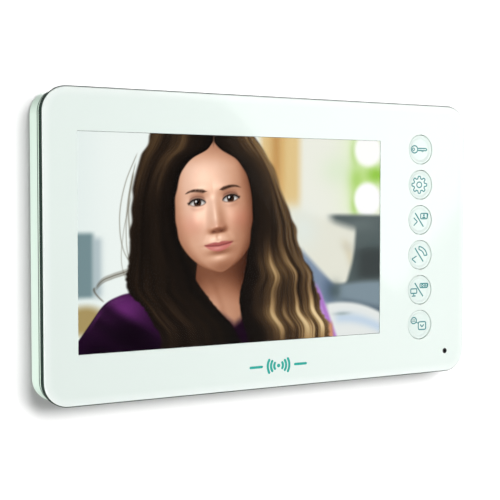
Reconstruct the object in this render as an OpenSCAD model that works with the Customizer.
// Wall-mounted video intercom monitor: flat hands-free indoor station with a 7-inch screen.
// Frame: the wall is the plane Y = 0, the monitor faces -Y and +Z is up.
// The origin is the middle of the wall bracket's screw pattern, on the bracket's back face.
// Every module is drawn flat on the wall (x across, y up, z out from the wall) and stood up by on_wall().

/* [Front panel] */
// Width of the white front panel
panel_w = 218.4; // [216:0.2:222]
// Height of the white front panel
panel_h = 130; // [128:0.5:134]
// Corner radius of the front panel
panel_r = 10.5; // [9:0.5:12]
// Thickness of the front panel
panel_t = 2; // [2:0.1:2.4]
// Radius that eases the front edge of the panel
panel_ease = 0.5; // [0.3:0.1:0.6]

/* [Screen] */
// Visible width of the screen
screen_w = 152.4; // [150:0.2:154]
// Visible height of the screen
screen_h = 91.4; // [88:0.2:93]
// Screen centre to the left of the panel's centre
screen_left = 18.4; // [17:0.1:20]
// Screen centre above the panel's centre
screen_up = 1.6; // [0:0.1:3]
// Width of the display module's steel frame
lcd_w = 165; // [164:0.5:166]
// Height of the display module's steel frame
lcd_h = 104; // [102:0.5:105]

/* [Keys] */
// Diameter of each key's hole in the panel
key_hole_d = 14.4; // [13.6:0.1:15]
// Gap round each key
key_gap = 0.25; // [0.15:0.05:0.4]
// Distance between neighbouring keys
key_pitch = 17; // [16.6:0.1:17.4]
// Column of keys to the right of the panel's centre
key_x = 81.7; // [80:0.1:84]
// Middle of the column above the panel's centre
key_up = 1.2; // [0:0.1:2]
// How far a key travels when it is pressed
key_travel = 0.5; // [0.3:0.1:0.6]
// Depth of the finger dish in each key
dish_depth = 0.8; // [0.4:0.1:1]

/* [Casing] */
// Distance from the wall to the front of the panel
depth = 17.5; // [17.4:0.1:18.2]
// Depth of the dark trim ring seen from the side
trim_band = 2.75; // [2.5:0.05:2.9]
// How far the trim ring stands out past the panel
trim_proud = 0.35; // [0.2:0.05:0.5]
// Distance from the wall to the seam between the two shells
seam_z = 11; // [10.6:0.1:11.2]
// Width of the open seam between the shells
seam_gap = 0.5; // [0.3:0.1:0.6]
// Wall thickness of the shells
shell_t = 2; // [1.8:0.1:2.2]
// Radius of the rear shell's back edge
rear_ease = 1.5; // [1:0.1:1.8]

/* [Wall bracket] */
// Width of the bracket plate
bracket_w = 118; // [114:1:118]
// Height of the bracket plate
bracket_h = 84; // [80:1:84]
// Thickness of the bracket steel
bracket_t = 1.2; // [1:0.1:1.3]
// Distance between the outer wall screws, side to side
screws_w = 100; // [96:1:102]
// Distance between wall screws, up and down
screws_h = 60; // [60:0.1:60.3]
// Diameter of the wall screw holes
wall_hole_d = 4.4; // [4:0.1:4.6]
// Height the monitor lifts to come off the hooks
lift = 5.2; // [5:0.1:5.4]

/* [Hidden] */
$fn = 64;
eps = 0.01;
slip = 0.1;                              // clearance between fixed pieces
key_names = ["unlock", "gate", "view", "talk", "camera", "intercom"];
key_n = len(key_names);
screen_pos = [-screen_left, screen_up];
mic_pos = [97.5, -55.1];

// levels out from the wall
panel_z = depth - panel_t;               // back of the panel
step_z = depth - 0.7;                    // the panel's rebate, where the trim starts
trim_z = step_z - trim_band;             // back of the trim ring
flange_z = panel_z - 0.8;                // the trim's inner flange
deck_z = 13.1;                           // back of the front shell's deck
deck_top = flange_z - 0.05;
land_top = panel_z - 0.3;                // raised land that carries the tape
rear_z = 0.5;                            // back of the rear shell
floor_z = rear_z + shell_t;              // inside of the rear shell's floor
recess_z = 1.6;                          // outer face of the bracket recess
recess_in_z = 3.2;                       // inner face of the bracket recess
lcd_back = 8.9;                          // back of the display module
lcd_front = 14.28;
board_z = 5.4;                           // back of the main board
board_t = 1.6;
key_board_z = 4;                         // back of the key board
screen_recess = 0.25;                    // the window's face lies this far behind the panel's

// how far rounded outlines lie inside the panel's edge
shell_in = 0.2;                          // the shells stand this far inside the panel's edge
rebate_in = 1.1;                         // the panel's rebate
land_in = 4.4;                           // the front shell's raised land

// the wall bracket
bracket_corner = 4;
hook_x = 40;                             // hooks left and right of the middle
hook_w = 10;
hook_tops = [27, -23];                   // heights of the hooks' seats
hook_neck = 2.35;                        // how far a hook's lip stands off the plate
lip_h = 4.5;                             // how far a lip rises above its seat
hook_window_h = 8.6;                     // hole that the bent hook leaves in the plate
cut_w = 60;                              // cable window
cut_h = 44;
recess_gap = 0.75;                       // round the bracket in the rear shell
recess_wall = 1.6;
hook_slot_h = bracket_t + lift + 0.6;    // slots in the rear shell that the hooks pass through

// keys
key_cap_r = key_hole_d / 2 - key_gap;
flange_r = key_hole_d / 2 + 0.5;
flange_top = panel_z - slip;
flange_t = 0.8;
stem_r = 3;
stem_fit = 0.05;
switch_top = 9.1;
stem_z = switch_top + 0.8;
plunger_r = 1.7;
switch_size = 6;
key_relief = 0.15;                       // the key's rim lies this far behind the panel's face
key_edge = 0.3;                          // radius round the key's rim
guide_wall = 1.6;
tab_w = 1.9;                             // tab that keeps a key from turning
tab_gap = 0.2;

// screws and posts
post_r = 2.4;                            // posts for small screws
small_r = 0.98;                          // shank of a small screw
small_head_r = 1.9;
small_head_h = 1.1;
pilot_r = 1;                             // tapped hole for a small screw
board_hole_r = 1.1;
casing_r = 1.48;                         // shank of a casing screw
casing_pilot_r = 1.5;
casing_post_r = 3.2;
casing_sleeve_r = 4;
casing_sink_r = 2.9;
casing_join_z = 5.4;                     // where the two shells' screw posts meet
shell_screws_at = [[-98, 58.2], [1, 58.2], [100, 57.4], [-98, -57], [1, -57], [84, -57]];
clamp_at = [[-60, 57.6, -1], [24, 57.6, -1], [-60, -54.6, 1], [24, -54.6, 1]];
board_at = [[-43, 37], [55, 37], [-43, -35], [55, -35]];
key_post_rows = [2, 0, -2];
board_x0 = -48;
board_x1 = 60;
board_y0 = -40;
board_y1 = 42;

// screw terminals on the back of the main board
terminal_w = 22;
terminal_h = 7.4;
terminal_pitch = 5;
terminal_screw_y = 4.6;
terminal_slots = [-1.5 : 1.5];
terminal_hatch = [28, 27];               // opening in the recess floor
terminal_hatch_y = -4.5;

// loudspeaker
speaker_pos = [-82, -6];
speaker_r = 18;
speaker_post_r = 20.6;                   // circle of the speaker's screws
speaker_screw_r = 0.78;
speaker_angles = [90, 210, 330];
speaker_rim = 3;                         // width of the basket's flange
grille_r = 14;
grille_pitch = 3.6;
grille_slot = 1.6;
magnet_r = 8.5;
vent_pitch = 5;
vent_len = 7;
vent_y = 50.5;

// microphone
mic_hole_r = 1.1;
mic_r = 3;
boot_r = 4.4;

white = [0.94, 0.97, 0.95];
steel = [0.72, 0.74, 0.76];
black = [0.08, 0.09, 0.09];

// ---- shared shapes ----

// stands a shape drawn on the wall upright, facing -Y
module on_wall() rotate([90, 0, 0]) children();

// rounded rectangle, grown past the panel's outline by grow
module outline(grow) round_rect(panel_w + 2 * grow, panel_h + 2 * grow, panel_r + grow);

module round_rect(w, h, r) {
    square([w - 2 * r, h], center = true);
    square([w, h - 2 * r], center = true);
    for (x = [-1, 1], y = [-1, 1])
        translate([x * (w / 2 - r), y * (h / 2 - r)]) circle(r);
}

// slab between two levels
module slab(z0, z1) translate([0, 0, z0]) linear_extrude(z1 - z0) children();

// half of a plate's cross-section, its upper outer edge eased by a radius
module eased_half(half, t, ease) {
    square([half, t - ease]);
    square([half - ease, t]);
    translate([half - ease, t - ease]) intersection() {
        circle(ease);
        square(ease);
    }
}

module eased_section(w, t, ease) {
    eased_half(w / 2, t, ease);
    mirror([1, 0]) eased_half(w / 2, t, ease);
}

// rounded plate from z = 0 to t, with the edge of its top face eased
module eased_plate(w, h, r, t, ease) {
    rotate([90, 0, 0]) linear_extrude(h - 2 * r, center = true) eased_section(w, t, ease);
    rotate([90, 0, 90]) linear_extrude(w - 2 * r, center = true) eased_section(h, t, ease);
    for (x = [-1, 1], y = [-1, 1])
        translate([x * (w / 2 - r), y * (h / 2 - r), 0])
            rotate_extrude() eased_half(r, t, ease);
}

// straight slot with round ends, lying along x
module slot_2d(length, width) {
    square([length - width, width], center = true);
    for (x = [-1, 1]) translate([x * (length - width) / 2, 0]) circle(width / 2);
}

module rod(r, z0, z1) translate([0, 0, z0]) cylinder(r = r, h = z1 - z0);

module tube(r_out, r_in, z0, z1) difference() {
    rod(r_out, z0, z1);
    rod(r_in, z0 - eps, z1 + eps);
}

// pan-head screw, its head towards the wall, with a cross recess
module screw(shank_r, head_r, head_z, head_h, length) difference() {
    union() {
        rod(shank_r, head_z + head_h - eps, head_z + head_h + length);
        rod(head_r, head_z, head_z + head_h);
    }
    for (turn = [0, 90]) rotate(turn) translate([0, 0, head_z])
        cube([head_r * 1.1, head_r * 0.3, head_h], center = true);
}

module at(points) for (p = points) translate([p[0], p[1], 0]) children();

function key_y(i) = key_up + key_pitch * ((key_n - 1) / 2 - i);
module at_keys() for (i = [0 : key_n - 1]) translate([key_x, key_y(i), 0]) children();
module at_key_posts() for (row = key_post_rows)
    translate([key_x, key_up + key_pitch * row, 0]) children();
module at_screen() translate(screen_pos) children();
module at_speaker() translate(speaker_pos) children();
module at_speaker_posts() at_speaker() for (a = speaker_angles)
    rotate(a) translate([speaker_post_r, 0, 0]) children();

// ---- wall bracket ----

module hook(top) translate([0, top, 0]) {
    translate([-hook_w / 2, -bracket_t, bracket_t - eps])
        cube([hook_w, bracket_t, hook_neck + bracket_t + eps]);
    translate([-hook_w / 2, -bracket_t, bracket_t + hook_neck])
        cube([hook_w, lip_h + bracket_t, bracket_t]);
}

module wall_bracket() color(steel) on_wall() {
    difference() {
        slab(0, bracket_t) round_rect(bracket_w, bracket_h, bracket_corner);
        slab(-eps, bracket_t + eps) round_rect(cut_w, cut_h, bracket_corner - 1);
        for (x = [-1, 1], y = [-1, 1]) translate([x * screws_w / 2, y * screws_h / 2, 0])
            rod(wall_hole_d / 2, -eps, bracket_t + eps);
        for (y = [-1, 1]) translate([0, y * screws_h / 2, 0])
            rod(wall_hole_d / 2, -eps, bracket_t + eps);
        for (x = [-1, 1], top = hook_tops) translate([x * hook_x, top + hook_window_h / 2, 0])
            slab(-eps, bracket_t + eps) square([hook_w + 1, hook_window_h], center = true);
    }
    for (x = [-1, 1], top = hook_tops) translate([x * hook_x, 0, 0]) hook(top);
}

// ---- front ----

module front_panel() color(white) on_wall() difference() {
    union() {
        translate([0, 0, step_z])
            eased_plate(panel_w, panel_h, panel_r, depth - step_z, panel_ease);
        slab(panel_z, step_z + eps) outline(-rebate_in);
    }
    at_screen() slab(panel_z - eps, depth + eps) square([screen_w, screen_h], center = true);
    at_keys() rod(key_hole_d / 2, panel_z - eps, depth + eps);
    translate(mic_pos) rod(mic_hole_r, panel_z - eps, depth + eps);
}

module display_window() color([0.75, 0.85, 0.88, 0.4]) on_wall() at_screen() {
    slab(panel_z - 0.1 - eps, depth - screen_recess)
        square([screen_w - 2 * slip, screen_h - 2 * slip], center = true);
    slab(panel_z - 0.8, panel_z - 0.1) square([screen_w + 4.8, screen_h + 4.8], center = true);
}

module panel_tape() color([0.2, 0.2, 0.22]) on_wall() slab(land_top, panel_z - 0.02) {
    translate([0, panel_h / 2 - 7.4]) square([190, 4.6], center = true);
    translate([-8, -panel_h / 2 + 7.2]) square([174, 4.6], center = true);
    translate([-panel_w / 2 + 6.1, 0]) square([2.4, 96], center = true);
    translate([panel_w / 2 - 10, 2]) square([7, 92], center = true);
}

module trim_ring() color(black) on_wall() difference() {
    slab(trim_z, step_z - 0.05) outline(trim_proud);
    slab(panel_z, step_z + eps) outline(slip - rebate_in);
    slab(trim_z - eps, panel_z + eps) outline(-land_in + slip);
    slab(trim_z - eps, flange_z) outline(-1.2);
}

module front_shell() color(white) on_wall() difference() {
    union() {
        slab(deck_z, deck_top) outline(-1.3);
        slab(deck_top - eps, land_top) outline(-land_in);
        difference() {
            slab(seam_z + seam_gap / 2, trim_z - 0.05) outline(-shell_in);
            slab(seam_z, deck_z) outline(-shell_in - shell_t);
        }
        at_keys() rod(stem_r + guide_wall, switch_top + 1.4, deck_z + eps);
        at_key_posts() rod(post_r, key_board_z + board_t + 0.05, deck_z + eps);
        at(shell_screws_at) rod(casing_post_r, casing_join_z + slip, deck_z + eps);
        at(clamp_at) rod(post_r, lcd_back - 0.05, deck_z + eps);
    }
    at_screen() slab(seam_z, land_top + eps) square([lcd_w + 0.6, lcd_h + 0.6], center = true);
    at_keys() {
        rod(flange_r + tab_gap, flange_top - flange_t - key_travel - 0.2, land_top + eps);
        rod(stem_r + stem_fit, switch_top, deck_top);
        translate([0, flange_r, land_top - 1])
            cube([tab_w + 2 * tab_gap, 2.6, 2.4], center = true);
    }
    at_key_posts() rod(pilot_r, key_board_z, deck_z - 1);
    at(shell_screws_at) rod(casing_pilot_r, casing_join_z, deck_z - 1);
    at(clamp_at) rod(pilot_r, lcd_back - 1, deck_z - 1);
    translate(mic_pos) rod(boot_r + slip, deck_z - eps, land_top + eps);
}

module rear_shell() color(white) on_wall() difference() {
    union() {
        translate([0, 0, seam_z - seam_gap / 2]) mirror([0, 0, 1])
            eased_plate(panel_w - 2 * shell_in, panel_h - 2 * shell_in, panel_r - shell_in,
                seam_z - seam_gap / 2 - rear_z, rear_ease);
        slab(seam_z - 1, deck_z - 0.7) outline(-shell_in - shell_t - slip);
    }
    difference() {
        slab(floor_z, deck_z) outline(-shell_in - shell_t - 1.2);
        slab(0, recess_in_z) bracket_recess(recess_wall);
        at(shell_screws_at) rod(casing_sleeve_r, 0, casing_join_z);
        at(board_at) rod(post_r + 0.6, 0, board_z - 0.05);
        at_speaker_posts() rod(post_r - 0.2, 0, floor_z + 1.2);
    }
    slab(rear_z - eps, recess_z) bracket_recess(0);
    for (x = [-1, 1], top = hook_tops) translate([x * hook_x, top + 0.05 - hook_slot_h / 2, 0])
        slab(0, recess_in_z + 1) square([hook_w + 2, hook_slot_h], center = true);
    slab(0, recess_in_z + 1) translate([0, terminal_hatch_y]) square(terminal_hatch, center = true);
    at(shell_screws_at) {
        rod(casing_pilot_r + 0.1, 0, deck_z);
        rod(casing_sink_r, 0, recess_z + 0.6);
    }
    at(board_at) rod(pilot_r, recess_in_z - 0.6, board_z);
    at_speaker_posts() rod(speaker_screw_r + 0.02, floor_z - 1, board_z);
    at_speaker() for (i = [-3 : 3]) translate([0, i * grille_pitch, 0])
        slab(0, floor_z + eps) slot_2d(2 * sqrt(pow(grille_r, 2) - pow(i * grille_pitch, 2)), grille_slot);
    for (i = [-8 : 8]) translate([i * vent_pitch, vent_y, 0])
        rotate(90) slab(0, floor_z + eps) slot_2d(vent_len, grille_slot);
}

// hollow in the rear shell that swallows the bracket and lets the monitor lift
module bracket_recess(wall) {
    low = -bracket_h / 2 - lift - recess_gap - wall;
    high = bracket_h / 2 + recess_gap + wall;
    half = bracket_w / 2 + recess_gap + wall;
    translate([0, (low + high) / 2]) square([2 * half, high - low], center = true);
}

// ---- display module ----

module screen_sheet(inset, z0, z1) on_wall() at_screen() slab(z0, z1)
    square([lcd_w - 2 * inset, lcd_h - 2 * inset], center = true);

module window_gasket() color("dimgray") on_wall() at_screen()
    slab(lcd_front + 0.01, panel_z - 0.82) difference() {
        square([screen_w + 4.8, screen_h + 4.8], center = true);
        square([screen_w + 1.2, screen_h + 1.2], center = true);
    }

module lcd_frame() color(steel) on_wall() at_screen() difference() {
    slab(lcd_back, lcd_front) square([lcd_w, lcd_h], center = true);
    slab(lcd_back - eps, lcd_front - 0.4) square([lcd_w - 1, lcd_h - 1], center = true);
    slab(lcd_back, lcd_front + eps) square([screen_w + 1.2, screen_h + 1.2], center = true);
}

module lcd_glass() color([0.1, 0.12, 0.14]) screen_sheet(2.8, 12.5, 13.83);
module lcd_diffuser() color("whitesmoke") screen_sheet(2.8, 11.9, 12.45);
module lcd_light_guide() color([0.85, 0.92, 0.95, 0.6]) screen_sheet(4.8, 10.4, 11.85);
module lcd_reflector() color("silver") screen_sheet(2.8, 10.15, 10.35);

module lcd_led_strip() color("khaki") on_wall() at_screen() {
    translate([0, -lcd_h / 2 + 3.9, 0]) slab(10.45, 11.8) square([lcd_w - 16, 0.6], center = true);
    for (i = [-9 : 9]) translate([i * 7.8, -lcd_h / 2 + 4.4, 0])
        slab(10.6, 11.65) square([3.2, 0.5], center = true);
}

module lcd_back_tray() color(steel) on_wall() at_screen() difference() {
    slab(lcd_back, 10.1) square([lcd_w - 1.2, lcd_h - 1.2], center = true);
    for (x = [-1, 1], y = [-1, 1]) translate([x * 38, y * 22, 0])
        slab(lcd_back - eps, lcd_back + 0.6) square([60, 34], center = true);
}

module lcd_flex() color("darkorange") on_wall() translate([-10, 0, 0]) {
    translate([-12, -46, lcd_back - 0.28]) cube([24, 14, 0.2]);
    translate([-12, -32.2, board_z + board_t + 1.2]) cube([24, 0.2, 0.62]);
    translate([-12, -36, board_z + board_t + 1.2]) cube([24, 4, 0.2]);
}

module lcd_clamps() color(steel) on_wall() for (p = clamp_at) translate([p[0], p[1], 0])
    difference() {
        slab(lcd_back - 0.9, lcd_back - 0.1) translate([0, p[2] * 3]) square([12, 12], center = true);
        rod(board_hole_r, lcd_back - 2, lcd_back);
    }

module lcd_clamp_screws() color("silver") on_wall() at(clamp_at)
    screw(small_r, small_head_r, lcd_back - 2, small_head_h, 3.8);

// ---- key board ----

module key_board() color("seagreen") on_wall() difference() {
    translate([key_x, key_up, 0]) slab(key_board_z, key_board_z + board_t)
        square([17, 6 * key_pitch], center = true);
    at_key_posts() rod(board_hole_r, key_board_z - 1, key_board_z + 3);
}

module switch_bodies() color(black) on_wall() at_keys() difference() {
    union() {
        slab(key_board_z + board_t, switch_top - 0.3) square(switch_size, center = true);
        slab(switch_top - 0.3 - eps, switch_top) square(switch_size - 0.6, center = true);
    }
    rod(plunger_r + 0.08, switch_top - 1.7, switch_top + 1);
}

module key_board_screws() color("silver") on_wall() at_key_posts()
    screw(small_r, small_head_r, key_board_z - small_head_h, small_head_h, 6.5);

module ribbon_connectors() color("ivory") on_wall() translate([0, key_up + key_pitch, 0]) {
    slab(key_board_z + board_t, 8.2) translate([key_x - 5, 0]) square([5, 9], center = true);
    slab(board_z + board_t, 8.2) translate([board_x1 - 4, 0]) square([5, 9], center = true);
}

module ribbon_cable() color("lightgray") on_wall() translate([0, key_up + key_pitch, 0])
    slab(7.3, 7.9) translate([(key_x - 7.5 + board_x1 - 1.5) / 2, 0])
        square([key_x - 7.5 - board_x1 + 1.5, 7.6], center = true);

// ---- main board ----

module main_board() color("darkgreen") on_wall() difference() {
    slab(board_z, board_z + board_t) translate([board_x0, board_y0])
        square([board_x1 - board_x0, board_y1 - board_y0]);
    at(board_at) rod(board_hole_r, board_z - 1, board_z + 3);
}

module chip(x, y, w, h, t) translate([x, y, 0]) slab(board_z + board_t, board_z + board_t + t)
    square([w, h], center = true);

module processor() color(black) on_wall() chip(6, 8, 17, 17, 1.2);
module memory_chips() color(black) on_wall() for (y = [0, 16]) chip(30, y, 12, 8, 1);
module power_inductor() color([0.25, 0.24, 0.24]) on_wall() chip(-30, 22, 7, 7, 1.6);
module lcd_connector() color("ivory") on_wall() chip(-10, -36.5, 27, 5, 1.1);

module capacitors() color("darkgoldenrod") on_wall() for (x = [-32, -22, 22, 32])
    translate([x, 12, 0]) slab(board_z - 1.8, board_z) square([7.3, 4.3], center = true);

module board_screws() color("silver") on_wall() at(board_at)
    translate([0, 0, 2 * (board_z + board_t) + small_head_h]) mirror([0, 0, 1])
        screw(small_r, small_head_r, board_z + board_t, small_head_h, 4);

module terminal_block() color("seagreen") on_wall() difference() {
    slab(recess_z + 0.1, board_z) translate([0, terminal_h / 2])
        square([terminal_w, terminal_h], center = true);
    for (i = terminal_slots) translate([i * terminal_pitch, 0, 0]) {
        translate([0, 1.2, 3.6]) cube([3.2, 3, 2.2], center = true);
        translate([0, terminal_screw_y, 0]) rod(1.6, 0, 4.7);
    }
}

module terminal_screws() color("silver") on_wall() for (i = terminal_slots)
    translate([i * terminal_pitch, terminal_screw_y, 0]) difference() {
        rod(1.5, recess_z + 0.4, 4.6);
        translate([0, 0, recess_z + 0.5]) cube([4, 0.5, 0.8], center = true);
    }

// ---- loudspeaker, facing the wall ----

module speaker_basket() color("dimgray") on_wall() at_speaker() {
    tube(speaker_r, speaker_r - speaker_rim, floor_z + 0.4, floor_z + 1.2);
    tube(speaker_r - 2, speaker_r - speaker_rim, floor_z + 1.2 - eps, 5.4);
    tube(speaker_r - 2, magnet_r / 2, 5.4 - eps, 6);
}

module speaker_cone() color(black) on_wall() at_speaker() rotate_extrude()
    polygon([[0, 4.6], [4.5, 4.9], [14.7, 3.1], [14.7, 3.5], [4.5, 5.3], [0, 5]]);

module speaker_magnet() color("silver") on_wall() at_speaker() rod(magnet_r, 6.02, lcd_back - 0.3);

module speaker_gasket() color("black") on_wall() at_speaker()
    tube(speaker_r, speaker_r - speaker_rim + 0.4, floor_z, floor_z + 0.38);

module speaker_screws() color("silver") on_wall() at_speaker_posts()
    translate([0, 0, floor_z + 3.3]) mirror([0, 0, 1])
        screw(speaker_screw_r, 3, 1.07, 1, 2.1);

// ---- microphone ----

module microphone() color("silver") on_wall() translate(mic_pos) {
    rod(mic_r, 12.4, 14.8);
    rod(1.6, 11.9, 12.4 + eps);
}

module microphone_boot() color(black) on_wall() translate(mic_pos) difference() {
    rod(boot_r, 11.6, panel_z - 0.05);
    rod(mic_r + 0.03, 11, 14.85);
    rod(mic_hole_r - 0.1, 14, panel_z);
}

// ---- screws that close the casing ----

module shell_screws() color("silver") on_wall() at(shell_screws_at)
    screw(casing_r, casing_sink_r - 0.3, rear_z + 0.4, 1.3, 8);

// ---- keys and their switch plungers ----

module key(i) color(white) on_wall() translate([key_x, key_y(i), 0]) {
    rim_z = depth - key_relief;
    dish_a = key_cap_r - 0.5;
    dish_r = (dish_a * dish_a + dish_depth * dish_depth) / (2 * dish_depth);
    rotate_extrude() difference() {
        union() {
            square([key_cap_r, rim_z - key_edge]);
            square([key_cap_r - key_edge, rim_z]);
            translate([key_cap_r - key_edge, rim_z - key_edge]) circle(key_edge, $fn = 24);
            square([flange_r, flange_top]);
        }
        square([flange_r + 1, flange_top - flange_t]);
        translate([0, rim_z - dish_depth + dish_r]) circle(dish_r, $fn = 200);
    }
    rod(stem_r, stem_z, flange_top - flange_t + eps);
    translate([0, flange_r - 0.2, flange_top - flange_t / 2])
        cube([tab_w, 1.6, flange_t], center = true);
}

module plunger(i) color("tomato") on_wall() translate([key_x, key_y(i), 0])
    rod(plunger_r, switch_top - 1, stem_z);

module unlock_key() key(0);
module gate_key() key(1);
module view_key() key(2);
module talk_key() key(3);
module camera_key() key(4);
module intercom_key() key(5);
module unlock_plunger() plunger(0);
module gate_plunger() plunger(1);
module view_plunger() plunger(2);
module talk_plunger() plunger(3);
module camera_plunger() plunger(4);
module intercom_plunger() plunger(5);

// ---- what is drawn ----

wall_bracket();
front_panel();
display_window();
panel_tape();
trim_ring();
front_shell();
rear_shell();
window_gasket();
lcd_frame();
lcd_glass();
lcd_diffuser();
lcd_light_guide();
lcd_led_strip();
lcd_reflector();
lcd_back_tray();
lcd_flex();
lcd_clamps();
lcd_clamp_screws();
key_board();
switch_bodies();
key_board_screws();
ribbon_cable();
ribbon_connectors();
main_board();
processor();
memory_chips();
power_inductor();
capacitors();
lcd_connector();
terminal_block();
terminal_screws();
board_screws();
speaker_basket();
speaker_cone();
speaker_magnet();
speaker_gasket();
speaker_screws();
microphone();
microphone_boot();
shell_screws();
unlock_key();
gate_key();
view_key();
talk_key();
camera_key();
intercom_key();
unlock_plunger();
gate_plunger();
view_plunger();
talk_plunger();
camera_plunger();
intercom_plunger();
